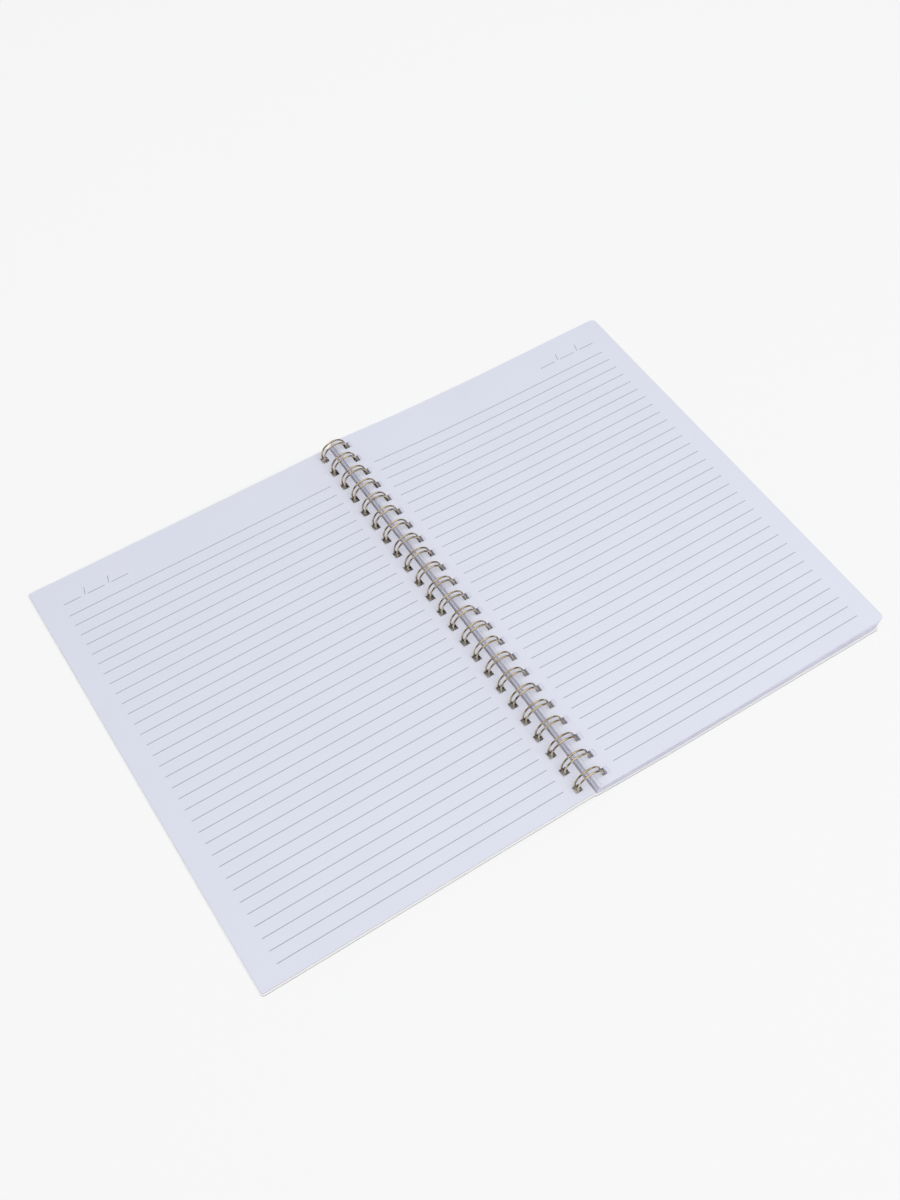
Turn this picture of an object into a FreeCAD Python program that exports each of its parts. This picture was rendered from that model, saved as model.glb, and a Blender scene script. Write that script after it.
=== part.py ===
import FreeCAD, Part

import math
import os
import sys

import Sketcher

# Open notebook with a twin loop wire binding, lying on its back.
# Millimetres. +X runs across the open pages to the reader's right, +Y up the page, +Z up.
# The origin is on the table, in the middle of the whole footprint.
# Left half: the front cover with the leaves turned over on it. Right half: the rest of the
# leaves on the back cover. The binding's rings lie between them on the table.

os.makedirs("parts", exist_ok=True)
doc = FreeCAD.newDocument("notebook")

# The driving sizes
SIZES = [
    ("leaf_height", "294", "height of a leaf"),
    ("leaf_reach", "201.6", "from the middle of the punched holes to a leaf's outer edge"),
    ("hole_margin", "6.8", "from the middle of the punched holes to the inner edge"),
    ("hole_size", "4.8", "side of a punched square hole"),
    ("hole_pitch", "12.7", "from hole to hole along the spine, two to the inch"),
    ("hole_count", "23", "holes in each leaf and cover, and double loops in the wire"),
    ("leaf_corner", "2", "corner radius of the turned leaves"),
    ("block_corner", "4.5", "outer corner radius of the page block"),
    ("turned_thickness", "0.4", "thickness of the leaves turned over to the left"),
    ("block_thickness", "6.8", "thickness of the leaves on the right"),
    ("cover_thickness", "1", "thickness of a cover"),
    ("cover_overhang", "1", "how far a cover stands out past the leaves on three sides"),
    ("cover_corner", "2", "corner radius of a cover"),
    ("wire_diameter", "1.1", "the wire, measured across two flats"),
    ("ring_radius", "8.4", "from a ring's centre to the middle of the wire"),
    ("pair_spacing", "3.2", "between the two wires of a double loop"),
    ("ring_sides", "16", "straight runs that stand for the round of a ring"),
    ("seam_gap", "0.4", "gap at the seam between the loops' tips and the links"),
    ("web_gap", "0.8", "gap between the wire lying on the table and the back cover"),
    ("cover_gap", "1", "gap under the rings between the front and back covers"),
    ("stack_gap", "0.1", "air between the page block and the back cover"),
    ("page_push", "1.4", "how far the page block has slid outwards on the rings"),
    ("bend_reach", "66", "from the rings' centre to where the back cover meets the table"),
]

# What follows from them. A hole's place is where the ring crosses the height of its sheet.
DERIVED = [
    ("hex_corner", "wire_diameter / sqrt(3)"),
    ("ring_height", "ring_radius + hex_corner"),
    ("row_length", "(hole_count - 1) * hole_pitch"),
    ("cover_height", "leaf_height + 2 * cover_overhang"),
    ("cover_reach", "leaf_reach + cover_overhang"),
    ("back_lift", "wire_diameter + web_gap"),
    ("back_hole", "sqrt(ring_radius^2 - (ring_height - back_lift - cover_thickness / 2)^2)"),
    ("bend_run", "bend_reach - back_hole"),
    ("bend_radius", "(bend_run^2 + back_lift^2) / (2 * back_lift)"),
    ("block_low", "back_lift + cover_thickness + stack_gap"),
    ("block_high", "block_low + block_thickness"),
    ("block_hole_low", "sqrt(ring_radius^2 - (ring_height - block_low)^2) + page_push"),
    ("block_hole_high", "sqrt(ring_radius^2 - (ring_height - block_high)^2) + page_push"),
    ("front_lift", "back_lift + cover_thickness + cover_gap"),
    ("front_stack", "cover_thickness + turned_thickness"),
    ("front_hole", "sqrt(ring_radius^2 - (ring_height - front_lift - front_stack / 2)^2)"),
    ("front_slope", "front_lift / cover_reach"),
    ("left_extent", "front_hole + cover_reach * sqrt(1 - front_slope^2) + cover_thickness * front_slope"),
    ("right_extent", "block_hole_high + leaf_reach"),
    ("spine_x", "(left_extent - right_extent) / 2"),
]

sheet = doc.addObject("Spreadsheet::Sheet", "sizes")
row = 1
for alias, value, meaning in SIZES:
    sheet.set(f"A{row}", meaning)
    sheet.set(f"B{row}", value)
    sheet.setAlias(f"B{row}", alias)
    row += 1
doc.recompute()
for alias, formula in DERIVED:
    sheet.set(f"A{row}", f"derived: {alias}")
    sheet.set(f"B{row}", f"={formula}")
    sheet.setAlias(f"B{row}", alias)
    row += 1
    doc.recompute()


def size(alias):
    """A value of the sheet as a plain number."""
    value = sheet.get(alias)
    return float(getattr(value, "Value", value))


def origin_item(body, role):
    """One of a body's own origin planes or axes, found by its role."""
    return next(item for item in body.Origin.OriginFeatures if item.Role == role)


def new_body(name):
    """A body whose name and label are the node's name."""
    body = doc.addObject("PartDesign::Body", name)
    body.Label = name
    return body


def new_sketch(body, name, plane):
    """A sketch of the body on one of its own origin planes."""
    sketch = body.newObject("Sketcher::SketchObject", name)
    sketch.AttachmentSupport = (origin_item(body, plane), "")
    sketch.MapMode = "FlatFace"
    return sketch


def bind(sketch, name, kind, first, second, formula, start):
    """Add a distance from one sketch point to another and tie it to the sheet."""
    index = sketch.addConstraint(Sketcher.Constraint(kind, *first, *second, start))
    sketch.renameConstraint(index, name)
    sketch.setExpression(f"Constraints.{name}", formula)
    return index


ORIGIN = (-1, 1)


def outline(sketch, corners):
    """A closed outline of straight sides through the corners, with every corner's place bound.

    corners: (name, x formula, y formula, x start, y start) for each.
    """
    count = len(corners)
    points = [FreeCAD.Vector(x, y, 0) for _, _, _, x, y in corners]
    for i in range(count):
        sketch.addGeometry(Part.LineSegment(points[i], points[(i + 1) % count]), False)
    for i in range(count):
        sketch.addConstraint(Sketcher.Constraint("Coincident", i, 2, (i + 1) % count, 1))
    for i, (name, x_formula, y_formula, x, y) in enumerate(corners):
        bind(sketch, f"{name}_x", "DistanceX", ORIGIN, (i, 1), x_formula, x)
        bind(sketch, f"{name}_y", "DistanceY", ORIGIN, (i, 1), y_formula, y)


def rectangle(sketch, x_low, x_high, y_low, y_high):
    """A rectangle whose four sides are each given as (formula, start)."""
    outline(sketch, [
        ("low_left", x_low[0], y_low[0], x_low[1], y_low[1]),
        ("low_right", x_high[0], y_low[0], x_high[1], y_low[1]),
        ("top_right", x_high[0], y_high[0], x_high[1], y_high[1]),
        ("top_left", x_low[0], y_high[0], x_low[1], y_high[1]),
    ])


def pad(body, name, sketch, formula, midplane=False):
    """Draw the sketch out to a length given by a formula."""
    feature = body.newObject("PartDesign::Pad", name)
    feature.Profile = sketch
    feature.Midplane = midplane
    feature.setExpression("Length", formula)
    doc.recompute()
    return feature


def round_edges(body, name, base, edges, formula):
    """Fillet the named edges of the base feature."""
    fillet = body.newObject("PartDesign::Fillet", name)
    fillet.Base = (base, edges)
    fillet.setExpression("Radius", formula)
    doc.recompute()
    return fillet


def edges_where(shape, test):
    """The names of the shape's edges that pass the test."""
    return [f"Edge{i}" for i, edge in enumerate(shape.Edges, 1) if test(edge)]


def upright(edge):
    """True for a straight edge that joins an upper and a lower face at one end of the sheet."""
    a, b = (v.Point for v in (edge.Vertexes[0], edge.Vertexes[-1]))
    return len(edge.Vertexes) == 2 and abs(a.y - b.y) < 1e-6 and abs(a.z - b.z) > 0.1 and abs(a.x - b.x) < 5


def punch(body, name, sketch, length=None):
    """Cut the first hole of the row and repeat it along the spine.

    length, where it is given, is the formula of the cut's whole length, half to each side of
    the sketch. Without it the hole goes right through the body.
    """
    pocket = body.newObject("PartDesign::Pocket", f"{name}_hole")
    pocket.Profile = sketch
    pocket.Midplane = True
    if length:
        pocket.setExpression("Length", length)
    else:
        pocket.Type = "ThroughAll"
    doc.recompute()
    pattern = body.newObject("PartDesign::LinearPattern", f"{name}_row")
    pattern.Originals = [pocket]
    pattern.Direction = (origin_item(body, "Y_Axis"), [""])
    pattern.setExpression("Length", "sizes.row_length")
    pattern.setExpression("Occurrences", "sizes.hole_count")
    body.Tip = pattern
    doc.recompute()
    return pattern


def flat_sheet(name, inner, reach, height, thickness, corner, above):
    """A punched flat sheet of the left half, which reaches outwards along -X from its holes."""
    body = new_body(name)
    face = new_sketch(body, f"{name}_face", "XY_Plane")
    face.setExpression("AttachmentOffset.Base.z", above)
    rectangle(face, (f"-{reach}", -200), (inner, 7), (f"-{height} / 2", -147), (f"{height} / 2", 147))
    board = pad(body, f"{name}_board", face, thickness)
    rounded = round_edges(body, f"{name}_corners", board, edges_where(board.Shape, upright), corner)
    hole = new_sketch(body, f"{name}_square", "XY_Plane")
    hole.setExpression("AttachmentOffset.Base.y", "-sizes.row_length / 2")
    half = "sizes.hole_size / 2"
    rectangle(hole, (f"-{half}", -2), (half, 2), (f"-{half}", -2), (half, 2))
    punch(body, name, hole)
    # The stiff cover lies straight from the table at its outer edge up to the rings.
    body.Placement = FreeCAD.Placement(FreeCAD.Vector(0, 0, 0), FreeCAD.Rotation(FreeCAD.Vector(0, 1, 0), -1))
    body.setExpression("Placement.Base.x", "sizes.spine_x - sizes.front_hole")
    body.setExpression("Placement.Base.z", "sizes.front_lift")
    body.setExpression("Placement.Rotation.Angle", "-asin(sizes.front_slope)")
    return body


def bent_profile(sketch, low, high, inner_low, inner_high, outer_low, outer_high):
    """The section of a sheet or stack that lies flat and rises on an arc towards the rings.

    The sketch's x is measured from the rings' centre plane and its y is the height. low and
    high are the heights of the flat faces; the other four are where the section ends. Each is
    a formula with a start value. Both arcs share a centre above the bend's start.
    """
    bend, radius = size("bend_reach"), size("bend_radius")
    r_low, r_high = radius - low[1], radius - high[1]

    def on_arc(r, x):
        return FreeCAD.Vector(x, radius - math.sqrt(r * r - (bend - x) ** 2), 0)

    outer_a, outer_b = FreeCAD.Vector(outer_low[1], low[1], 0), FreeCAD.Vector(outer_high[1], high[1], 0)
    bend_a, bend_b = FreeCAD.Vector(bend, low[1], 0), FreeCAD.Vector(bend, high[1], 0)
    inner_a, inner_b = on_arc(r_low, inner_low[1]), on_arc(r_high, inner_high[1])
    middle = FreeCAD.Vector(bend, radius, 0)

    def arc(r, end):
        circle = Part.Circle(middle, FreeCAD.Vector(0, 0, 1), r)
        return Part.ArcOfCircle(circle, math.atan2(end.y - middle.y, end.x - middle.x), -math.pi / 2)

    flat_low = sketch.addGeometry(Part.LineSegment(bend_a, outer_a), False)
    edge_out = sketch.addGeometry(Part.LineSegment(outer_a, outer_b), False)
    flat_high = sketch.addGeometry(Part.LineSegment(outer_b, bend_b), False)
    arc_high = sketch.addGeometry(arc(r_high, inner_b), False)
    edge_in = sketch.addGeometry(Part.LineSegment(inner_b, inner_a), False)
    arc_low = sketch.addGeometry(arc(r_low, inner_a), False)
    for one, other in [((flat_low, 2), (edge_out, 1)), ((edge_out, 2), (flat_high, 1)),
                       ((flat_high, 2), (arc_high, 2)), ((arc_high, 1), (edge_in, 1)),
                       ((edge_in, 2), (arc_low, 1)), ((arc_low, 2), (flat_low, 1))]:
        sketch.addConstraint(Sketcher.Constraint("Coincident", *one, *other))
    sketch.addConstraint(Sketcher.Constraint("Coincident", arc_low, 3, arc_high, 3))
    bind(sketch, "bend_x", "DistanceX", ORIGIN, (arc_low, 3), "sizes.bend_reach", bend)
    bind(sketch, "bend_y", "DistanceY", ORIGIN, (arc_low, 3), "sizes.bend_radius", radius)
    bind(sketch, "bend_low_x", "DistanceX", ORIGIN, (flat_low, 1), "sizes.bend_reach", bend)
    bind(sketch, "bend_low_y", "DistanceY", ORIGIN, (flat_low, 1), low[0], low[1])
    bind(sketch, "bend_high_x", "DistanceX", ORIGIN, (flat_high, 2), "sizes.bend_reach", bend)
    bind(sketch, "bend_high_y", "DistanceY", ORIGIN, (flat_high, 2), high[0], high[1])
    bind(sketch, "outer_low_x", "DistanceX", ORIGIN, (flat_low, 2), *outer_low)
    bind(sketch, "outer_low_y", "DistanceY", ORIGIN, (flat_low, 2), low[0], low[1])
    bind(sketch, "outer_high_x", "DistanceX", ORIGIN, (flat_high, 1), *outer_high)
    bind(sketch, "outer_high_y", "DistanceY", ORIGIN, (flat_high, 1), high[0], high[1])
    bind(sketch, "inner_low_x", "DistanceX", ORIGIN, (edge_in, 2), *inner_low)
    bind(sketch, "inner_high_x", "DistanceX", ORIGIN, (edge_in, 1), *inner_high)


def worked(formula):
    """A formula with its named sizes tied to the sheet, and its value to start a sketch near."""
    names = {alias for alias, *_ in SIZES + DERIVED}
    text = " ".join(f"sizes.{word}" if word in names else word for word in formula.split())
    value = sheet.evalExpression(text)
    return text, float(getattr(value, "Value", value))


def seat(body):
    """Set a body that is drawn from the rings' centre plane in its place on the table."""
    body.setExpression("Placement.Base.x", "sizes.spine_x")


# The left half
front_cover = flat_sheet("front_cover", "sizes.hole_margin", "sizes.cover_reach", "sizes.cover_height",
                         "sizes.cover_thickness", "sizes.cover_corner", "0 mm")
turned_leaves = flat_sheet("turned_leaves", "sizes.hole_margin", "sizes.leaf_reach", "sizes.leaf_height",
                           "sizes.turned_thickness", "sizes.leaf_corner", "sizes.cover_thickness * 1 mm")

# The back cover, flat on the table and lifted over the wire at the spine
back_cover = new_body("back_cover")
section = new_sketch(back_cover, "back_section", "XZ_Plane")
bent_profile(section, worked("0 * cover_thickness"), worked("cover_thickness"),
             worked("back_hole - hole_margin"), worked("back_hole - hole_margin"),
             worked("back_hole + cover_reach"), worked("back_hole + cover_reach"))
board = pad(back_cover, "back_board", section, "sizes.cover_height", midplane=True)
round_edges(back_cover, "back_corners", board, edges_where(board.Shape, upright), "sizes.cover_corner")
square = new_sketch(back_cover, "back_square", "XY_Plane")
square.setExpression("AttachmentOffset.Base.y", "-sizes.row_length / 2")
rectangle(square, worked("back_hole - hole_size / 2"), worked("back_hole + hole_size / 2"),
          worked("0 - hole_size / 2"), worked("hole_size / 2"))
punch(back_cover, "back_cover", square)
seat(back_cover)

# The page block: every leaf hangs on the rings at its own height, so the stack leans outwards
page_block = new_body("page_block")
section = new_sketch(page_block, "block_section", "XZ_Plane")
bent_profile(section, worked("cover_thickness + stack_gap"), worked("cover_thickness + stack_gap + block_thickness"),
             worked("block_hole_low - hole_margin"), worked("block_hole_high - hole_margin"),
             worked("block_hole_low + leaf_reach"), worked("block_hole_high + leaf_reach"))
stack = pad(page_block, "block_stack", section, "sizes.leaf_height", midplane=True)
outer_edges = edges_where(stack.Shape, lambda edge: upright(edge) and edge.CenterOfMass.x > size("bend_reach"))
round_edges(page_block, "block_corners", stack, outer_edges, "sizes.block_corner")
slot = new_sketch(page_block, "block_slot", "XZ_Plane")
slot.setExpression("AttachmentOffset.Base.z", "sizes.row_length / 2")
lean = "( block_hole_high - block_hole_low )"
foot, head = f"block_hole_low - {lean}", f"block_hole_high + {lean}"
below, above = "block_low - block_thickness", "block_high + block_thickness"
slot_corners = []
for name, x_formula, y_formula in [("foot_in", f"{foot} - hole_size / 2", below),
                                   ("foot_out", f"{foot} + hole_size / 2", below),
                                   ("head_out", f"{head} + hole_size / 2", above),
                                   ("head_in", f"{head} - hole_size / 2", above)]:
    (x_tied, x_start), (y_tied, y_start) = worked(x_formula), worked(y_formula)
    slot_corners.append((name, x_tied, y_tied, x_start, y_start))
outline(slot, slot_corners)
punch(page_block, "page_block", slot, length="sizes.hole_size")
seat(page_block)
doc.recompute()


def mitred_tube(points, across):
    """A six-sided tube along a path of straight runs, cut to a mitre at each turn.

    One pair of the section's flats faces away from the vector across, which is level with the
    path's first run. Each flat stays a plane from one mitre to the next.
    """
    corner = size("hex_corner")
    ways = [(b - a).normalize() for a, b in zip(points, points[1:])]
    out = across.cross(ways[0]).normalize()
    section = [points[0] + across * (corner * math.cos(k * math.pi / 3)) + out * (corner * math.sin(k * math.pi / 3))
               for k in range(6)]
    sections = [section]
    for i, way in enumerate(ways):
        bisector = way + ways[i + 1] if i + 1 < len(ways) else way
        target = points[i + 1]
        section = [p + way * ((target - p).dot(bisector) / way.dot(bisector)) for p in section]
        sections.append(section)
    rims = [(one[k], one[(k + 1) % 6], other[(k + 1) % 6], other[k])
            for one, other in zip(sections, sections[1:]) for k in range(6)]
    faces = [Part.Face(Part.makePolygon(list(rim) + [rim[0]])) for rim in rims + [sections[0], sections[-1]]]
    shell = Part.makeShell(faces)
    shell.sewShape()
    return Part.makeSolid(shell).removeSplitter()


def wire_path():
    """The middle line of the binding wire, from its first cut end to its last.

    The one wire is bent to a row of double loops. Each is two rings side by side, joined at
    one end by a tip and linked at the other end to the next double loop. Tips and links meet
    across a gap at the seam, which lies on the table under the covers' inner edges.
    """
    radius, spacing, pitch = size("ring_radius"), size("pair_spacing"), size("hole_pitch")
    count, sides = int(round(size("hole_count"))), int(round(size("ring_sides")))
    centre = FreeCAD.Vector(0, 0, size("ring_height"))
    seam = 2 * math.asin((size("hex_corner") + size("seam_gap") / 2) / radius)
    base = (seam - math.pi) / 2
    turn = (2 * math.pi - seam) / sides
    ring = [centre + FreeCAD.Vector(radius * math.cos(base + turn * j), 0, radius * math.sin(base + turn * j))
            for j in range(sides + 1)]
    path = []
    for i in range(count):
        middle = (i - (count - 1) / 2) * pitch
        path += [p + FreeCAD.Vector(0, middle - spacing / 2, 0) for p in ring]
        path += [p + FreeCAD.Vector(0, middle + spacing / 2, 0) for p in reversed(ring)]
    return path


wire = doc.addObject("Part::Feature", "twin_loop_wire")
wire.Label = "twin_loop_wire"
wire.Shape = mitred_tube(wire_path(), FreeCAD.Vector(0, 1, 0))
wire.Placement = FreeCAD.Placement(FreeCAD.Vector(size("spine_x"), 0, 0), FreeCAD.Rotation())
doc.recompute()

nodes = [front_cover, turned_leaves, back_cover, page_block, wire]
problems = [f"{obj.Name}: {obj.State}" for obj in doc.Objects if {"Invalid", "Error"} & set(obj.State)]
for node in nodes:
    shape = node.Shape
    if shape.isNull() or not shape.isValid() or len(shape.Solids) != 1:
        problems.append(f"{node.Label}: {len(shape.Solids)} solids, valid {not shape.isNull() and shape.isValid()}")
if problems:
    sys.exit("\n".join(problems))
for node in nodes:
    box = node.Shape.BoundBox
    print(f"{node.Label}: volume {node.Shape.Volume:.1f} x {box.XMin:.2f}..{box.XMax:.2f} "
          f"y {box.YMin:.2f}..{box.YMax:.2f} z {box.ZMin:.2f}..{box.ZMax:.2f}")
    node.Shape.exportStep(f"parts/{node.Label}.step")
print(f"hinge axis at x {size('spine_x'):.4f} z {size('ring_height'):.4f}")
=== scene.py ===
import logging
import math
import random
from dataclasses import dataclass
from enum import Enum
from typing import Callable, Sequence

import bmesh
import bpy
from mathutils import Matrix, Vector


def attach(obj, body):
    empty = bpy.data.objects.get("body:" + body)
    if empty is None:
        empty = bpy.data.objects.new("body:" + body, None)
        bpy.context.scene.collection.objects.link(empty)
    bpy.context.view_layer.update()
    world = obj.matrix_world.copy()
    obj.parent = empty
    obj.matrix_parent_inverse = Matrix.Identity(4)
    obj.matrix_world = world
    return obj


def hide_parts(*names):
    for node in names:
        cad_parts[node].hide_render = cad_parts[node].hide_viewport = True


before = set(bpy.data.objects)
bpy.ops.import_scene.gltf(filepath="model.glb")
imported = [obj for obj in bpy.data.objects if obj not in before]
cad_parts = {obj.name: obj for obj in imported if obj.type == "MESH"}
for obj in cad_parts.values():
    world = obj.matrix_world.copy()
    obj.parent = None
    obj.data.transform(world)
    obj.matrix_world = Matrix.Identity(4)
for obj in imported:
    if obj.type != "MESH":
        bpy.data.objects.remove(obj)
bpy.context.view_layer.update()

log = logging.getLogger("notebook")
MM = 0.001
METRE = 1000.0

# Places of the CAD model, in millimetres in the shared frame
SPINE_X = -0.825
RING_HEIGHT = 9.035
FRONT_HOLE = -7.959
FRONT_LIFT = 3.9
FRONT_SLOPE = 0.01925
COVER_THICKNESS = 1.0
BEND_REACH = 66.0
BEND_RADIUS = 975.3
BLOCK_BASE = 1.1
BLOCK_TOP = 7.9
LEAF_HEIGHT = 294.0
LEAF_REACH = 201.6
HOLE_MARGIN = 6.8
HOLE_SIDE = 4.8
HOLE_PITCH = 12.7
HOLE_COUNT = 23
FIRST_HOLE = -(HOLE_COUNT - 1) / 2 * HOLE_PITCH

# Numbers of the colour mix node's sockets
FIRST, SECOND, MIXED = 6, 7, 2

# A face is level where the height part of its normal is above this, and upright below it
LEVEL = 0.5


class Half(Enum):
    """Which half of the open notebook a sheet belongs to, and the way it reaches from the spine."""

    LEFT = -1
    RIGHT = 1


def srgb(code: str) -> tuple[float, float, float, float]:
    """Turn an sRGB hex colour to the linear values that shaders use.

    Args:
        code: A colour such as "#E1E3F4".

    Returns:
        Linear red, green and blue, and an alpha of 1.
    """
    values = [int(code[i:i + 2], 16) / 255 for i in (1, 3, 5)]
    linear = [v / 12.92 if v <= 0.04045 else ((v + 0.055) / 1.055) ** 2.4 for v in values]
    return (*linear, 1.0)


def add_node(tree: bpy.types.NodeTree, kind: str, inputs: dict | None = None, **settings) -> bpy.types.Node:
    """Add a node with its settings, input values and incoming links.

    Args:
        tree: The node tree that takes the node.
        kind: The node's type name.
        inputs: Socket name or number to a value, or to an output socket to link from.
        settings: The node's own properties.

    Returns:
        The new node.
    """
    node = tree.nodes.new(kind)
    for name, value in settings.items():
        setattr(node, name, value)
    for key, value in (inputs or {}).items():
        if isinstance(value, bpy.types.NodeSocket):
            tree.links.new(value, node.inputs[key])
        else:
            node.inputs[key].default_value = value
    return node


def new_material(name: str) -> tuple[bpy.types.Material, bpy.types.NodeTree]:
    """Make an empty node material.

    Args:
        name: The material's name.

    Returns:
        The material and its cleared node tree.
    """
    material = bpy.data.materials.new(name)
    material.use_nodes = True
    material.node_tree.nodes.clear()
    return material, material.node_tree


def deselect_all() -> None:
    """Leave object mode with nothing selected."""
    if bpy.context.mode != "OBJECT":
        bpy.ops.object.mode_set(mode="OBJECT")
    bpy.ops.object.select_all(action="DESELECT")


def activate(obj: bpy.types.Object) -> None:
    """Make one object the only selected and active one.

    Args:
        obj: The object.
    """
    deselect_all()
    obj.select_set(True)
    bpy.context.view_layer.objects.active = obj


def pick(obj: bpy.types.Object, kind: str, test: Callable[[Vector], bool]) -> None:
    """Select, in edit mode, the vertices or faces that pass a test, and nothing else.

    Args:
        obj: The object in edit mode.
        kind: "VERT" for vertices or "FACE" for faces.
        test: Takes a vertex's place or a face's middle and says whether it is wanted.
    """
    bpy.ops.mesh.select_mode(type=kind)
    bpy.ops.mesh.select_all(action="DESELECT")
    mesh = bmesh.from_edit_mesh(obj.data)
    if kind == "FACE":
        for face in mesh.faces:
            face.select_set(test(face.calc_center_median()))
    else:
        for vertex in mesh.verts:
            vertex.select_set(test(vertex.co))
    mesh.select_flush_mode()
    bmesh.update_edit_mesh(obj.data)


def cut_across(place: tuple[float, float, float], normal: tuple[int, int, int]) -> None:
    """Cut all of the mesh in edit mode along a plane, and leave both sides in place."""
    bpy.ops.mesh.select_all(action="SELECT")
    bpy.ops.mesh.bisect(plane_co=place, plane_no=normal)


# Finishes


@dataclass(frozen=True)
class PaperFinish:
    """Uncoated writing paper, 80 g/m2, with a cool bluish white tint: matt, faintly mottled by its fibres."""

    name: str = "writing_paper"
    tint: str = "#E2E4F0"
    thin_tint: str = "#DEE0ED"
    roughness: float = 0.82
    fibre: float = 0.9
    cloud: float = 38.0

    def surface(self, tree: bpy.types.NodeTree, place: bpy.types.NodeSocket) -> tuple:
        """Add the colour and bump of the bare paper.

        Args:
            tree: The material's node tree.
            place: The Object coordinates.

        Returns:
            The colour socket and the normal socket.
        """
        clouds = add_node(tree, "ShaderNodeTexNoise",
                          {"Vector": place, "Scale": METRE / self.cloud, "Detail": 3.0})
        colour = add_node(tree, "ShaderNodeMix",
                          {"Factor": clouds.outputs["Fac"], FIRST: srgb(self.thin_tint),
                           SECOND: srgb(self.tint)}, data_type="RGBA")
        fibres = add_node(tree, "ShaderNodeTexNoise",
                          {"Vector": place, "Scale": METRE / self.fibre, "Detail": 4.0, "Roughness": 0.6})
        bump = add_node(tree, "ShaderNodeBump",
                        {"Height": fibres.outputs["Fac"], "Strength": 0.12, "Distance": 0.0001})
        return colour.outputs[MIXED], bump.outputs["Normal"]

    def shade(self, tree: bpy.types.NodeTree, colour: bpy.types.NodeSocket,
              normal: bpy.types.NodeSocket) -> None:
        """Add the shader and the output.

        Args:
            tree: The material's node tree.
            colour: The surface's colour.
            normal: The surface's normal with its bump.
        """
        shader = add_node(tree, "ShaderNodeBsdfPrincipled",
                          {"Base Color": colour, "Normal": normal, "Roughness": self.roughness, "IOR": 1.45,
                           "Specular IOR Level": 0.25})
        add_node(tree, "ShaderNodeOutputMaterial", {"Surface": shader.outputs["BSDF"]})


@dataclass(frozen=True)
class CutEdgeFinish(PaperFinish):
    """The same paper where a stack of it is cut: the sheets' edges show as fine streaks across the stack."""

    name: str = "cut_paper_edge"
    tint: str = "#E9E7F3"
    thin_tint: str = "#CCC9DB"
    streak: float = 0.24
    streak_flatness: float = 0.02
    streak_span: tuple[float, float] = (0.3, 0.6)

    def build(self) -> bpy.types.Material:
        """Make the material.

        Returns:
            The material, whose streaks are drawn about twice as coarse as a sheet so that they show.
        """
        material, tree = new_material(self.name)
        place = add_node(tree, "ShaderNodeTexCoord").outputs["Object"]
        scale = (self.streak_flatness, self.streak_flatness, 1.0)
        flat = add_node(tree, "ShaderNodeMapping", {"Vector": place, "Scale": scale})
        streaks = add_node(tree, "ShaderNodeTexNoise",
                           {"Vector": flat.outputs["Vector"], "Scale": METRE / self.streak, "Detail": 2.0})
        low, high = self.streak_span
        contrast = add_node(tree, "ShaderNodeMapRange",
                            {"Value": streaks.outputs["Fac"], "From Min": low, "From Max": high})
        colour = add_node(tree, "ShaderNodeMix", {"Factor": contrast.outputs["Result"],
                                                  FIRST: srgb(self.thin_tint), SECOND: srgb(self.tint)},
                          data_type="RGBA")
        bump = add_node(tree, "ShaderNodeBump",
                        {"Height": streaks.outputs["Fac"], "Strength": 0.3, "Distance": 0.0001})
        self.shade(tree, colour.outputs[MIXED], bump.outputs["Normal"])
        return material


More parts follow.
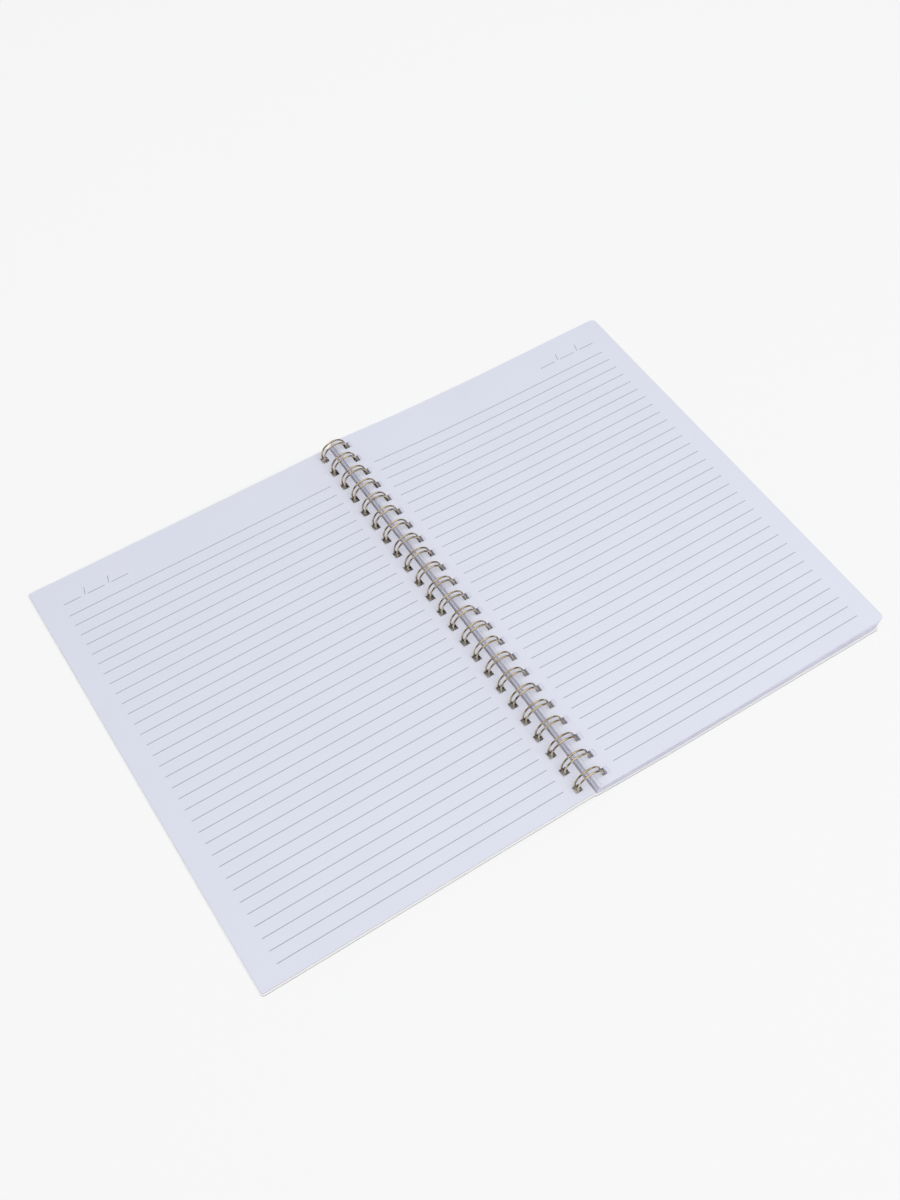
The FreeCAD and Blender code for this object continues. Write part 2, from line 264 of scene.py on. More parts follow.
@dataclass(frozen=True)
class RuledPageFinish(PaperFinish):
    """A page printed with thin grey rules and a bare date mark at its outer top corner."""

    name: str = "ruled_page"
    half: Half = Half.LEFT
    ink: str = "#999CB2"
    rule_weight: float = 0.42
    rule_pitch: float = 8.0
    rule_count: int = 33
    first_rule: float = 119.1
    rule_ends: tuple[float, float] = (-195.6, -15.8)
    turn: float = 0.0
    shift: tuple[float, float] = (0.0, 0.0)
    mark_weight: float = 0.42
    mark_line: float = 128.4
    mark_start: float = -195.1
    dash: float = 11.2
    dash_step: float = 15.7
    dash_count: int = 3
    slash_height: float = 5.2
    slash_lean: float = 1.5
    slash_lift: float = 0.2
    slash_place: float = 0.6

    def span(self, tree: bpy.types.NodeTree, value: bpy.types.NodeSocket, low: float,
             high: float) -> bpy.types.NodeSocket:
        """Mask the places where a coordinate lies between two values.

        Args:
            tree: The material's node tree.
            value: The coordinate in metres.
            low: The lower end, in millimetres.
            high: The upper end, in millimetres.

        Returns:
            A socket that is 1 inside and 0 outside.
        """
        middle, half = (low + high) / 2 * MM, (high - low) / 2 * MM
        return add_node(tree, "ShaderNodeMath", {0: value, 1: middle, 2: half},
                        operation="COMPARE").outputs[0]

    def both(self, tree: bpy.types.NodeTree, first: bpy.types.NodeSocket,
             second: bpy.types.NodeSocket) -> bpy.types.NodeSocket:
        """Mask the places that lie inside both masks."""
        return add_node(tree, "ShaderNodeMath", {0: first, 1: second}, operation="MULTIPLY").outputs[0]

    def rules(self, tree: bpy.types.NodeTree, x: bpy.types.NodeSocket,
              y: bpy.types.NodeSocket) -> bpy.types.NodeSocket:
        """Mask the rules across the page.

        Args:
            tree: The material's node tree.
            x: The coordinate across the pages, in metres.
            y: The coordinate up the page, in metres.

        Returns:
            The mask's socket.
        """
        last = self.first_rule - (self.rule_count - 1) * self.rule_pitch
        steps = add_node(tree, "ShaderNodeMath", {0: y, 1: 1 / (self.rule_pitch * MM),
                                                  2: 0.5 - last / self.rule_pitch}, operation="MULTIPLY_ADD")
        phase = add_node(tree, "ShaderNodeMath", {0: steps.outputs[0]}, operation="FRACT")
        weight = self.rule_weight / 2 / self.rule_pitch
        line = add_node(tree, "ShaderNodeMath", {0: phase.outputs[0], 1: 0.5, 2: weight}, operation="COMPARE")
        across = self.span(tree, x, *self.rule_ends)
        up = self.span(tree, y, last - self.rule_pitch / 2, self.first_rule + self.rule_pitch / 2)
        return self.both(tree, line.outputs[0], self.both(tree, across, up))

    def date_mark(self, tree: bpy.types.NodeTree, x: bpy.types.NodeSocket,
                  y: bpy.types.NodeSocket) -> bpy.types.NodeSocket:
        """Mask three short lines to write on, with a stroke between them, for day, month and year.

        Args:
            tree: The material's node tree.
            x: The coordinate across the pages, in metres.
            y: The coordinate up the page, in metres.

        Returns:
            The mask's socket.
        """
        half = self.mark_weight / 2
        base = self.span(tree, y, self.mark_line - half, self.mark_line + half)
        foot_line = self.mark_line + self.slash_lift
        tall = self.span(tree, y, foot_line, foot_line + self.slash_height)
        lean = self.slash_lean / self.slash_height
        leaning = add_node(tree, "ShaderNodeMath", {0: y, 1: -lean, 2: x}, operation="MULTIPLY_ADD")
        parts = []
        for i in range(self.dash_count):
            start = self.mark_start + i * self.dash_step
            parts.append(self.both(tree, self.span(tree, x, start, start + self.dash), base))
            if i < self.dash_count - 1:
                foot = start + self.dash + (self.dash_step - self.dash) * self.slash_place
                foot -= lean * self.mark_line
                stroke = self.span(tree, leaning.outputs[0], foot - half, foot + half)
                parts.append(self.both(tree, stroke, tall))
        mask = parts[0]
        for part in parts[1:]:
            mask = add_node(tree, "ShaderNodeMath", {0: mask, 1: part}, operation="MAXIMUM").outputs[0]
        return mask

    def build(self) -> bpy.types.Material:
        """Make the material.

        Returns:
            The material, with its print placed in the notebook's own coordinates.
        """
        material, tree = new_material(f"{self.name}_{self.half.name.lower()}")
        place = add_node(tree, "ShaderNodeTexCoord").outputs["Object"]
        shift = (self.shift[0] * MM, self.shift[1] * MM, 0)
        turned = add_node(tree, "ShaderNodeMapping",
                          {"Vector": place, "Rotation": (0, 0, self.turn), "Location": shift},
                          vector_type="TEXTURE")
        axes = add_node(tree, "ShaderNodeSeparateXYZ", {"Vector": turned.outputs["Vector"]})
        x, y = axes.outputs["X"], axes.outputs["Y"]
        paper, normal = self.surface(tree, place)
        printed = add_node(tree, "ShaderNodeMath", {0: self.rules(tree, x, y), 1: self.date_mark(tree, x, y)},
                           operation="MAXIMUM")
        colour = add_node(tree, "ShaderNodeMix", {"Factor": printed.outputs[0], FIRST: paper,
                                                  SECOND: srgb(self.ink)}, data_type="RGBA")
        self.shade(tree, colour.outputs[MIXED], normal)
        return material


@dataclass(frozen=True)
class BoardFinish:
    """Coated white cover board: smooth, nearly white and satin, with painted shade: its upright cut edges are
    painted grey.
    """

    name: str = "coated_cover_board"
    # painted shade: the grey given to the upright cut edges, standing in for their shade
    painted_shade_edge: str = "#ABABA9"
    face: str = "#F8F8F6"
    thin_face: str = "#F2F2EF"
    roughness_low: float = 0.38
    roughness_high: float = 0.52
    grain: float = 1.6
    cloud: float = 55.0

    def build(self) -> bpy.types.Material:
        """Make the material.

        Returns:
            The material, which paints grey shade where the surface stands upright on the board.
        """
        material, tree = new_material(self.name)
        coordinates = add_node(tree, "ShaderNodeTexCoord")
        place = coordinates.outputs["Object"]
        clouds = add_node(tree, "ShaderNodeTexNoise",
                          {"Vector": place, "Scale": METRE / self.cloud, "Detail": 4.0})
        coat = add_node(tree, "ShaderNodeMix", {"Factor": clouds.outputs["Fac"], FIRST: srgb(self.thin_face),
                                                SECOND: srgb(self.face)}, data_type="RGBA")
        facing = add_node(tree, "ShaderNodeSeparateXYZ", {"Vector": coordinates.outputs["Normal"]})
        upright = add_node(tree, "ShaderNodeMath", {0: facing.outputs["Z"], 1: 0.0, 2: LEVEL},
                           operation="COMPARE")
        # upright faces get the painted shade grey instead of the white coat
        colour = add_node(tree, "ShaderNodeMix", {"Factor": upright.outputs[0], FIRST: coat.outputs[MIXED],
                                                  SECOND: srgb(self.painted_shade_edge)}, data_type="RGBA")
        rough = add_node(tree, "ShaderNodeMapRange", {"Value": clouds.outputs["Fac"],
                                                      "To Min": self.roughness_low,
                                                      "To Max": self.roughness_high})
        grain = add_node(tree, "ShaderNodeTexNoise",
                         {"Vector": place, "Scale": METRE / self.grain, "Detail": 3.0})
        bump = add_node(tree, "ShaderNodeBump",
                        {"Height": grain.outputs["Fac"], "Strength": 0.08, "Distance": 0.0002})
        shader = add_node(tree, "ShaderNodeBsdfPrincipled",
                          {"Base Color": colour.outputs[MIXED], "Roughness": rough.outputs["Result"],
                           "Normal": bump.outputs["Normal"], "IOR": 1.5})
        add_node(tree, "ShaderNodeOutputMaterial", {"Surface": shader.outputs["BSDF"]})
        return material


@dataclass(frozen=True)
class WireFinish:
    """Steel wire with an antique gold coat: a warm satin metal, browner where the coat is thin."""

    name: str = "antique_gold_wire"
    coat: str = "#D8C8A9"
    thin_coat: str = "#826E53"
    roughness: float = 0.2
    wear: float = 3.2
    wear_span: tuple[float, float] = (0.42, 0.72)
    grain: float = 0.4

    def build(self) -> bpy.types.Material:
        """Make the material.

        Returns:
            The material.
        """
        material, tree = new_material(self.name)
        place = add_node(tree, "ShaderNodeTexCoord").outputs["Object"]
        wear = add_node(tree, "ShaderNodeTexNoise",
                        {"Vector": place, "Scale": METRE / self.wear, "Detail": 4.0})
        low, high = self.wear_span
        amount = add_node(tree, "ShaderNodeMapRange",
                          {"Value": wear.outputs["Fac"], "From Min": low, "From Max": high})
        colour = add_node(tree, "ShaderNodeMix", {"Factor": amount.outputs["Result"], FIRST: srgb(self.coat),
                                                  SECOND: srgb(self.thin_coat)}, data_type="RGBA")
        grain = add_node(tree, "ShaderNodeTexNoise",
                         {"Vector": place, "Scale": METRE / self.grain, "Detail": 2.0})
        bump = add_node(tree, "ShaderNodeBump",
                        {"Height": grain.outputs["Fac"], "Strength": 0.1, "Distance": 0.00005})
        shader = add_node(tree, "ShaderNodeBsdfPrincipled",
                          {"Base Color": colour.outputs[MIXED], "Metallic": 1.0, "Roughness": self.roughness,
                           "Normal": bump.outputs["Normal"]})
        add_node(tree, "ShaderNodeOutputMaterial", {"Surface": shader.outputs["BSDF"]})
        return material


# The notebook


@dataclass
class PunchedLeaf:
    """A sheet of paper with its row of square holes at x = 0, from which the stacks are copied."""

    half: Half
    thickness: float
    margin: float = HOLE_MARGIN
    reach: float = LEAF_REACH
    height: float = LEAF_HEIGHT
    corner: float = 1.0
    corner_points: int = 6
    round_inner: bool = False

    def build(self) -> bpy.types.Object:
        """Cut the sheet from a plane, round its corners, punch it and give it its thickness.

        Returns:
            The sheet, lying flat with its lower face at height 0.
        """
        deselect_all()
        inner, outer = -self.half.value * self.margin, self.half.value * self.reach
        bpy.ops.mesh.primitive_plane_add(size=1.0, location=((inner + outer) / 2 * MM, 0, 0))
        leaf = bpy.context.active_object
        leaf.name = leaf.data.name = "leaf"
        leaf.scale = (abs(outer - inner) * MM, self.height * MM, 1)
        bpy.ops.object.transform_apply(location=True, rotation=False, scale=True)
        bpy.ops.object.mode_set(mode="EDIT")
        self.round_corners(leaf, (inner + outer) / 2 * MM)
        self.punch(leaf)
        bpy.ops.object.mode_set(mode="OBJECT")
        body = leaf.modifiers.new("thickness", "SOLIDIFY")
        body.thickness = self.thickness * MM
        body.offset = 1.0
        bpy.ops.object.modifier_apply(modifier=body.name)
        return leaf

    def round_corners(self, leaf: bpy.types.Object, middle: float) -> None:
        """Round the sheet's outer corners, and its inner ones where the sheet has them.

        Args:
            leaf: The sheet in edit mode.
            middle: The sheet's middle across, in metres.
        """
        side = self.half.value
        pick(leaf, "VERT", lambda co: self.round_inner or (co.x - middle) * side > 0)
        bpy.ops.mesh.bevel(offset=self.corner * MM, segments=self.corner_points, affect="VERTICES")

    def punch(self, leaf: bpy.types.Object) -> None:
        """Cut the strip that the holes lie in across at each hole's sides, and take the squares out.

        Args:
            leaf: The sheet in edit mode.
        """
        edge = HOLE_SIDE / 2 * MM
        for x in (-edge, edge):
            cut_across((x, 0, 0), (1, 0, 0))
        for i in range(HOLE_COUNT):
            for side in (-1, 1):
                pick(leaf, "FACE", lambda co: -edge < co.x < edge)
                y = (FIRST_HOLE + i * HOLE_PITCH + side * HOLE_SIDE / 2) * MM
                bpy.ops.mesh.bisect(plane_co=(0, y, 0), plane_no=(0, 1, 0))

        def in_hole(co: Vector) -> bool:
            """Say whether a face's middle lies in one of the holes."""
            nearest = round((co.y / MM - FIRST_HOLE) / HOLE_PITCH) * HOLE_PITCH + FIRST_HOLE
            return -edge < co.x < edge and abs(co.y / MM - nearest) < HOLE_SIDE / 2

        pick(leaf, "FACE", in_hole)
        bpy.ops.mesh.delete(type="FACE")


def copy_leaf(leaf: bpy.types.Object, shift: tuple[float, float, float], stretch: float = 1.0,
              turn: float = 0.0) -> bpy.types.Object:
    """Copy a sheet with its own mesh.

    Args:
        leaf: The sheet to copy, with its lower face at height 0.
        shift: How far the copy moves, in millimetres.
        stretch: The copy's thickness over the first one's.
        turn: How far the copy turns in its own plane after it has moved out, about the frame's origin.

    Returns:
        The copy.
    """
    copy = leaf.copy()
    copy.data = leaf.data.copy()
    bpy.context.scene.collection.objects.link(copy)
    copy.data.transform(Matrix.Scale(stretch, 4, (0, 0, 1)))
    copy.data.transform(Matrix.Translation(Vector((shift[0], 0, shift[2])) * MM))
    copy.data.transform(Matrix.Translation((0, shift[1] * MM, 0)) @ Matrix.Rotation(turn, 4, "Z"))
    return copy


def join(pieces: list[bpy.types.Object], name: str) -> bpy.types.Object:
    """Join several sheets into one piece.

    Args:
        pieces: The sheets.
        name: The piece's name.

    Returns:
        The joined piece.
    """
    activate(pieces[0])
    for piece in pieces:
        piece.select_set(True)
    bpy.ops.object.join()
    whole = bpy.context.active_object
    whole.name = whole.data.name = name
    return whole


def dress_leaves(stack: bpy.types.Object, edge: CutEdgeFinish, page: RuledPageFinish) -> None:
    """Give a flat stack's cut edges and its pages their papers.

    Args:
        stack: The stack, before it is bent or laid on a slope.
        edge: The finish of the cut edges.
        page: The finish of the faces that look up or down.
    """
    stack.data.materials.clear()
    stack.data.materials.append(edge.build())
    stack.data.materials.append(page.build())
    for face in stack.data.polygons:
        face.material_index = 1 if abs(face.normal.z) > LEVEL else 0


@dataclass
class TurnedLeaves:
    """The few leaves turned over onto the front cover, a little out of line with each other, with painted
    shadow on their cut edges.
    """

    sheet: float = 0.088
    pitch: float = 0.1
    gap: float = 0.006
    slips: Sequence[tuple[float, float]] = ((-0.1, -0.1), (-0.4, 0.15), (-0.15, 0.05), (-0.34, 0.0))
    # painted shadow: the dark edge tints stand in for the shade in the gaps between the leaves and the cover
    edge: CutEdgeFinish = CutEdgeFinish(name="thin_stack_edge_painted_shadow", tint="#A3A0B6", thin_tint="#8F8CA3")
    page: RuledPageFinish = RuledPageFinish(half=Half.LEFT)

    def build(self) -> list[bpy.types.Object]:
        """Cut one leaf, copy it up the stack and lay the stack on the sloping cover.

        Returns:
            The finished piece, in a list.
        """
        pattern = PunchedLeaf(Half.LEFT, self.sheet, round_inner=True).build()
        leaves = [copy_leaf(pattern, (dx, dy, COVER_THICKNESS + i * self.pitch + self.gap))
                  for i, (dx, dy) in enumerate(self.slips)]
        bpy.data.objects.remove(pattern)
        stack = join(leaves, "turned_leaf_stack")
        dress_leaves(stack, self.edge, self.page)
        slope = Matrix.Rotation(-math.asin(FRONT_SLOPE), 4, "Y")
        stack.data.transform(Matrix.Translation(Vector((FRONT_HOLE, 0, FRONT_LIFT)) * MM) @ slope)
        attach(stack, "front")
        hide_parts("turned_leaves")
        return [stack]


@dataclass
class PageBlock:
    """The leaves on the right, which rise on a wide arc to the rings.

    Most of them lie in groups in a stack that leans outwards and has one step half way up.
    The last few lie singly, slightly turned, and the top one has slid out furthest.
    """

    groups: int = 22
    single: float = 0.1
    gap: float = 0.014
    seed: int = 7
    reach: float = 200.75
    margin: float = 6.6
    height: float = 294.6
    corner: float = 3.8
    stack_holes: tuple[float, float] = (6.25, 7.0)
    hole_spread: float = 0.08
    step: float = 0.65
    stack_shift: float = 0.2
    shift_spread: float = 0.12
    stack_turn: float = 0.0015
    turn_spread: float = 0.0003
    top_holes: Sequence[float] = (7.65, 7.72, 7.8, 7.9, 9.0)
    top_turns: Sequence[float] = (0.0025, 0.003, 0.003, 0.004, 0.005)
    top_shift: float = -0.45
    top_lift: float = 0.22
    sag: float = 1.3
    sag_span: tuple[float, float] = (-5.0, 205.0)
    squeeze: float = 0.7
    squeeze_slant: float = 0.8
    curl: float = 0.35
    curl_reach: tuple[float, float] = (55.0, 50.0)
    curl_cuts: int = 10
    curl_first: float = 0.03
    curl_step: float = 0.108
    curl_power: float = 1.6
    bend_cuts: Sequence[float] = (14, *range(18, 59, 5), 65.2, *range(75, 196, 10))
    edge: CutEdgeFinish = CutEdgeFinish()
    page: RuledPageFinish = RuledPageFinish(half=Half.RIGHT, rule_ends=(16.8, 196.6), mark_start=153.4,
                                            mark_line=129.4, turn=0.005, shift=(0.0, -0.6))

    def build(self) -> list[bpy.types.Object]:
        """Stack the leaves flat, each at its place on the rings, and bend the stack.

        Returns:
            The finished piece, in a list.
        """
        pattern = PunchedLeaf(Half.RIGHT, 1.0, self.margin, self.reach, self.height, self.corner).build()
        leaves = self.stack_groups(pattern) + self.lay_top(pattern)
        bpy.data.objects.remove(pattern)
        self.curl_corner(leaves[-1])
        block = join(leaves, "page_leaf_stack")
        bpy.ops.object.mode_set(mode="EDIT")
        for x in self.bend_cuts:
            cut_across((x * MM, 0, 0), (1, 0, 0))
        bpy.ops.object.mode_set(mode="OBJECT")
        dress_leaves(block, self.edge, self.page)
        self.bend(block)
        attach(block, "book")
        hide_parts("page_block")
        return [block]

    def stack_groups(self, pattern: bpy.types.Object) -> list[bpy.types.Object]:
        """Stack the groups of leaves that lean outwards, each a little out of line.

        Args:
            pattern: The leaf to copy, 1 mm thick.

        Returns:
            The groups, from the lowest up.
        """
        draw = random.Random(self.seed)
        thick = (BLOCK_TOP - len(self.top_holes) * self.single - BLOCK_BASE) / self.groups
        groups, low = [], BLOCK_BASE
        for i in range(self.groups):
            share = i / (self.groups - 1)
            hole = self.stack_holes[0] + share * (self.stack_holes[1] - self.stack_holes[0])
            hole += self.step * (share > 0.5) + draw.uniform(-self.hole_spread, self.hole_spread)
            shift = self.stack_shift + draw.uniform(-self.shift_spread, self.shift_spread)
            turn = self.stack_turn + draw.uniform(-self.turn_spread, self.turn_spread)
            groups.append(copy_leaf(pattern, (hole, shift, low), thick - self.gap, turn))
            low += thick
        return groups

    def lay_top(self, pattern: bpy.types.Object) -> list[bpy.types.Object]:
        """Lay the single leaves on the stack, with air under the top one.

        Args:
            pattern: The leaf to copy, 1 mm thick.

        Returns:
            The leaves, from the lowest up.
        """
        leaves, low = [], BLOCK_TOP - len(self.top_holes) * self.single
        for i, (hole, turn) in enumerate(zip(self.top_holes, self.top_turns)):
            height = low + i * self.single + self.top_lift * (i == len(self.top_holes) - 1)
            leaves.append(copy_leaf(pattern, (hole, self.top_shift, height), self.single - self.gap, turn))
        return leaves

    def curl_corner(self, leaf: bpy.types.Object) -> None:
        """Divide the top leaf's outer top corner and curl it up.

        Args:
            leaf: The top leaf, flat, at its place on the stack.
        """
        tip = Vector((max(v.co.x for v in leaf.data.vertices), max(v.co.y for v in leaf.data.vertices), 0))
        reach = Vector(self.curl_reach) * MM
        activate(leaf)
        bpy.ops.object.mode_set(mode="EDIT")
        for axis, normal in enumerate(((1, 0, 0), (0, 1, 0))):
            for i in range(self.curl_cuts):
                place = tip.copy()
                place[axis] -= reach[axis] * (self.curl_first + self.curl_step * i)
                cut_across(place, normal)
        bpy.ops.object.mode_set(mode="OBJECT")
        for vertex in leaf.data.vertices:
            along = 1 - (tip.x - vertex.co.x) / reach.x - (tip.y - vertex.co.y) / reach.y
            vertex.co.z += self.curl * MM * max(along, 0.0) ** self.curl_power
        leaf.data.update()

    def bend(self, block: bpy.types.Object) -> None:
        """Raise the stack towards the rings on the arc of the back cover.

        The loose leaves lie closer together half way across and, mostly low on the page, at the rings.

        Args:
            block: The flat stack.
        """
        start, end = self.sag_span
        for vertex in block.data.vertices:
            x, y, z = (value / MM for value in vertex.co)
            share = (z - BLOCK_BASE) / (BLOCK_TOP - BLOCK_BASE)
            across = min(max((x - start) / (end - start), 0), 1)
            lower = self.sag * math.sin(math.pi * across) ** 2
            run = BEND_REACH - (x - SPINE_X)
            if run > 0:
                radius = BEND_RADIUS - z
                z += radius - math.sqrt(radius ** 2 - run ** 2)
                slant = 1 - self.squeeze_slant * y / (LEAF_HEIGHT / 2)
                lower += self.squeeze * slant * (run / BEND_REACH) ** 2
            vertex.co.z = (z - lower * min(share, 1.0)) * MM
        block.data.update()


@dataclass
class LoopWire:
    """The binding wire: one wire bent to a row of double loops, shown round and smooth."""

    ring_radius: float = 8.4
    wire: float = 1.1
    spacing: float = 3.2
    ring_points: int = 60
    seam_open: float = 0.02
    seam_height: float = 0.4
    seam_half: float = 1.5
    bend: float = 1.05
    bend_points: int = 5
    round_points: int = 3
    smooth_angle: float = 50.0
    slack: float = 0.01

    def build(self) -> list[bpy.types.Object]:
        """Draw the middle line of one double loop, repeat it along the spine and give it the wire's round.

        Returns:
            The finished piece, in a list.
        """
        line = self.one_loop()
        row = line.modifiers.new("row", "ARRAY")
        row.fit_type = "FIXED_COUNT"
        row.count = HOLE_COUNT
        row.use_relative_offset = False
        row.use_constant_offset = True
        row.constant_offset_displace = (0, HOLE_PITCH * MM, 0)
        row.use_merge_vertices = True
        row.merge_threshold = self.slack * MM
        bpy.ops.object.modifier_apply(modifier=row.name)
        self.trim_link(line)
        bpy.ops.object.convert(target="CURVE")
        curve = bpy.context.active_object
        curve.data.dimensions = "3D"
        curve.data.bevel_depth = self.wire / 2 * MM
        curve.data.bevel_resolution = self.round_points
        curve.data.use_fill_caps = True
        bpy.ops.object.convert(target="MESH")
        wire = bpy.context.active_object
        wire.name = wire.data.name = "gold_loop_wire"
        bpy.ops.object.shade_smooth_by_angle(angle=math.radians(self.smooth_angle))
        wire.data.materials.clear()
        wire.data.materials.append(WireFinish().build())
        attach(wire, "book")
        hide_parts("twin_loop_wire")
        return [wire]

    def trim_link(self, line: bpy.types.Object) -> None:
        """Take off the link that runs on past the last loop.

        Args:
            line: The row's middle line.
        """
        last = (self.spacing / 2 - FIRST_HOLE + self.slack) * MM
        bpy.ops.object.mode_set(mode="EDIT")
        pick(line, "VERT", lambda co: co.y > last)
        bpy.ops.mesh.delete(type="VERT")
        bpy.ops.object.mode_set(mode="OBJECT")

    def one_loop(self) -> bpy.types.Object:
        """Draw one double loop with its tip and its link to the next.

        Returns:
            A mesh of edges alone, for the first loop of the row.
        """
        deselect_all()
        middle = FIRST_HOLE * MM
        near, far = ((FIRST_HOLE + side * self.spacing / 2) * MM for side in (-1, 1))
        bpy.ops.mesh.primitive_circle_add(
            vertices=self.ring_points, radius=self.ring_radius * MM, fill_type="NOTHING",
            location=(SPINE_X * MM, near, RING_HEIGHT * MM), rotation=(math.pi / 2, 0, 0))
        line = bpy.context.active_object
        line.name = "loop_line"
        bpy.ops.object.transform_apply(location=True, rotation=True, scale=True)
        bpy.ops.object.mode_set(mode="EDIT")
        lowest = RING_HEIGHT - self.ring_radius
        pick(line, "VERT", lambda co: co.z < (lowest + self.seam_open) * MM)
        bpy.ops.mesh.delete(type="VERT")
        bpy.ops.mesh.select_all(action="SELECT")
        bpy.ops.mesh.duplicate_move(TRANSFORM_OT_translate={"value": (0, self.spacing * MM, 0)})
        seam, reach, spine = (lowest + self.seam_height) * MM, self.seam_half * MM, SPINE_X * MM
        pick(line, "VERT", lambda co: co.z < seam and -reach < co.x - spine < 0)
        bpy.ops.mesh.edge_face_add()
        pick(line, "VERT", lambda co: co.z < seam and 0 < co.x - spine < reach and co.y > middle)
        bpy.ops.mesh.extrude_region_move(
            TRANSFORM_OT_translate={"value": (0, (HOLE_PITCH - self.spacing) * MM, 0)})

        def at_bend(co: Vector) -> bool:
            """Say whether a vertex is a square turn of the tip or of the link.

            Args:
                co: The vertex's place.

            Returns:
                True for a turn, and False for the loose end that the next link meets.
            """
            on_ring = min(abs(co.y - near), abs(co.y - far)) < self.slack * MM
            loose_end = co.x > spine and co.y < middle
            return co.z < seam and abs(co.x - spine) < reach and on_ring and not loose_end

        pick(line, "VERT", at_bend)
        bpy.ops.mesh.bevel(offset=self.bend * MM, segments=self.bend_points, affect="VERTICES")
        bpy.ops.object.mode_set(mode="OBJECT")
        return line


@dataclass
class Covers:
    """The two covers, whose CAD shapes are kept and dressed."""

    nodes: Sequence[str] = ("front_cover", "back_cover")

    def build(self) -> list[bpy.types.Object]:
        """Dress both covers in the coated board.

        Returns:
            The covers.
        """
        board = BoardFinish().build()
        covers = [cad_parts[name] for name in self.nodes]
        for cover in covers:
            cover.data.materials.clear()
            cover.data.materials.append(board)
        return covers


# The stage


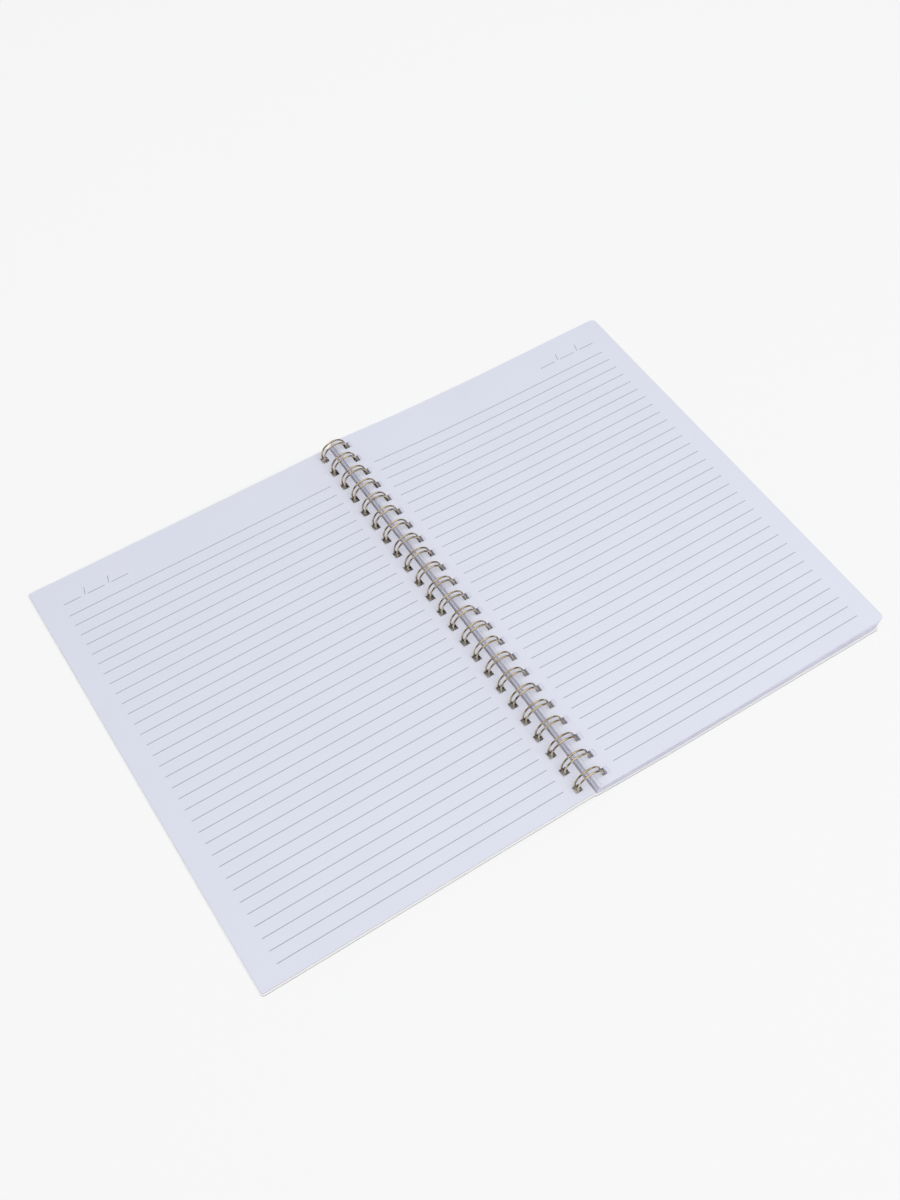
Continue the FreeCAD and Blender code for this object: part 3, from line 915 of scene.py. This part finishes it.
@dataclass
class Studio:
    """A pale floor under even, soft light from all round, a little stronger from above the front."""

    floor: str = "#F8F8F8"
    floor_side: float = 8.0
    floor_drop: float = 0.0002
    shown_share: float = 0.86
    hidden_half: tuple[float, float] = (15.0, 146.0)
    sky: float = 0.54
    sky_tint: str = "#F8F9FB"
    glow_tint: str = "#FFF9EE"
    glow_heights: tuple[float, float] = (0.4, 0.8)
    glow_levels: tuple[float, float] = (0.03, 1.45)
    key: float = 18.4
    key_side: float = 1.6
    key_place: tuple[float, float, float] = (0.2, -0.5, 1.65)

    def build(self) -> None:
        """Lay the floor, set the world's light and hang the soft lamp."""
        self.lay_floor()
        self.light_world()
        self.hang_lamp()

    def lay_floor(self) -> None:
        """Add the floor just under the covers, plain under the rows of holes and pale elsewhere in sight."""
        deselect_all()
        bpy.ops.mesh.primitive_plane_add(size=self.floor_side, location=(0, 0, -self.floor_drop))
        floor = bpy.context.active_object
        floor.name = "floor"
        material, tree = new_material("floor_paper")
        plain = add_node(tree, "ShaderNodeBsdfDiffuse", {"Color": srgb(self.floor)})
        shown = add_node(tree, "ShaderNodeEmission", {"Color": srgb(self.floor), "Strength": 1.0})
        place = add_node(tree, "ShaderNodeTexCoord").outputs["Object"]
        axes = add_node(tree, "ShaderNodeSeparateXYZ", {"Vector": place})
        spans = [add_node(tree, "ShaderNodeMath", {0: axes.outputs[axis], 1: 0.0, 2: half * MM},
                          operation="COMPARE").outputs[0]
                 for axis, half in zip(("X", "Y"), self.hidden_half)]
        under = add_node(tree, "ShaderNodeMath", {0: spans[0], 1: spans[1]}, operation="MULTIPLY")
        clear = add_node(tree, "ShaderNodeMath", {0: self.shown_share, 1: under.outputs[0]},
                         operation="SUBTRACT", use_clamp=True)
        share = add_node(tree, "ShaderNodeMath", {0: self.seen_rays(tree), 1: clear.outputs[0]},
                         operation="MULTIPLY")
        mixed = add_node(tree, "ShaderNodeMixShader",
                         {0: share.outputs[0], 1: plain.outputs[0], 2: shown.outputs[0]})
        add_node(tree, "ShaderNodeOutputMaterial", {"Surface": mixed.outputs[0]})
        floor.data.materials.append(material)

    def seen_rays(self, tree: bpy.types.NodeTree) -> bpy.types.NodeSocket:
        """Mask the rays that show a surface: those of the camera and of mirror and glass.

        Args:
            tree: The material's node tree.

        Returns:
            The mask's socket.
        """
        rays = add_node(tree, "ShaderNodeLightPath")
        seen = rays.outputs["Is Camera Ray"]
        for kind in ("Is Glossy Ray", "Is Transmission Ray"):
            seen = add_node(tree, "ShaderNodeMath", {0: seen, 1: rays.outputs[kind]},
                            operation="MAXIMUM").outputs[0]
        return seen

    def light_world(self) -> None:
        """Set an even pale sky, which metal sees as bright overhead and dark towards the room's walls."""
        world = bpy.data.worlds.new("studio_air")
        bpy.context.scene.world = world
        world.use_nodes = True
        tree = world.node_tree
        tree.nodes.clear()
        light = add_node(tree, "ShaderNodeBackground", {"Color": srgb(self.sky_tint), "Strength": self.sky})
        wall = add_node(tree, "ShaderNodeBackground", {"Color": srgb(self.floor), "Strength": 1.0})
        way = add_node(tree, "ShaderNodeTexCoord").outputs["Generated"]
        height = add_node(tree, "ShaderNodeSeparateXYZ", {"Vector": way}).outputs["Z"]
        low, high = self.glow_heights
        dark, bright = self.glow_levels
        glow = add_node(tree, "ShaderNodeMapRange", {"Value": height, "From Min": low, "From Max": high,
                                                     "To Min": dark, "To Max": bright},
                        interpolation_type="SMOOTHSTEP")
        room = add_node(tree, "ShaderNodeBackground", {"Color": srgb(self.glow_tint),
                                                       "Strength": glow.outputs["Result"]})
        rays = add_node(tree, "ShaderNodeLightPath")
        mirrored = add_node(tree, "ShaderNodeMixShader", {0: rays.outputs["Is Glossy Ray"],
                                                          1: light.outputs[0], 2: room.outputs[0]})
        mixed = add_node(tree, "ShaderNodeMixShader", {0: rays.outputs["Is Camera Ray"],
                                                       1: mirrored.outputs[0], 2: wall.outputs[0]})
        add_node(tree, "ShaderNodeOutputWorld", {"Surface": mixed.outputs[0]})

    def hang_lamp(self) -> None:
        """Hang a square soft lamp, turn it to the notebook and keep it out of the wire's reflections."""
        data = bpy.data.lights.new("key_softbox", "AREA")
        data.shape = "SQUARE"
        data.size = self.key_side
        data.energy = self.key
        lamp = bpy.data.objects.new("key_softbox", data)
        lamp.visible_glossy = False
        bpy.context.scene.collection.objects.link(lamp)
        lamp.location = self.key_place
        lamp.rotation_mode = "QUATERNION"
        lamp.rotation_quaternion = (-Vector(self.key_place)).to_track_quat("-Z", "Y")


@dataclass
class Viewpoint:
    """The camera, above the notebook's lower left, as fitted to the ruled pages."""

    place: tuple[float, float, float] = (-0.271207, -0.420386, 0.736258)
    azimuth: float = -33.466
    elevation: float = 55.384
    roll: float = 0.742
    focal_pixels: float = 1481.665
    frame_height: float = 1200.0
    sensor: float = 36.0
    shift: tuple[float, float] = (-0.01065, 0.0002)
    clip: tuple[float, float] = (0.01, 50.0)

    def build(self) -> None:
        """Set up the camera."""
        a, e, r = (math.radians(v) for v in (self.azimuth, self.elevation, self.roll))
        back = Vector((math.sin(a) * math.cos(e), -math.cos(a) * math.cos(e), math.sin(e)))
        level = (-back).cross(Vector((0, 0, 1))).normalized()
        above = level.cross(-back)
        right = level * math.cos(r) + above * math.sin(r)
        up = above * math.cos(r) - level * math.sin(r)
        data = bpy.data.cameras.new("photo_camera")
        data.sensor_width = self.sensor
        data.lens = self.focal_pixels / self.frame_height * self.sensor
        data.shift_x, data.shift_y = self.shift
        data.clip_start, data.clip_end = self.clip
        camera = bpy.data.objects.new("photo_camera", data)
        bpy.context.scene.collection.objects.link(camera)
        turn = Matrix((right, up, back)).transposed().to_4x4()
        camera.matrix_world = Matrix.Translation(self.place) @ turn
        bpy.context.scene.camera = camera


def main() -> None:
    """Build the notebook, the stage and the camera."""
    logging.basicConfig(level=logging.INFO, format="%(name)s: %(message)s")
    bpy.context.scene.view_settings.view_transform = "Standard"
    for maker in (Covers(), TurnedLeaves(), PageBlock(), LoopWire()):
        for piece in maker.build():
            log.info("%s: %d faces", piece.name, len(piece.data.polygons))
    Studio().build()
    Viewpoint().build()


if __name__ == "__main__":
    main()
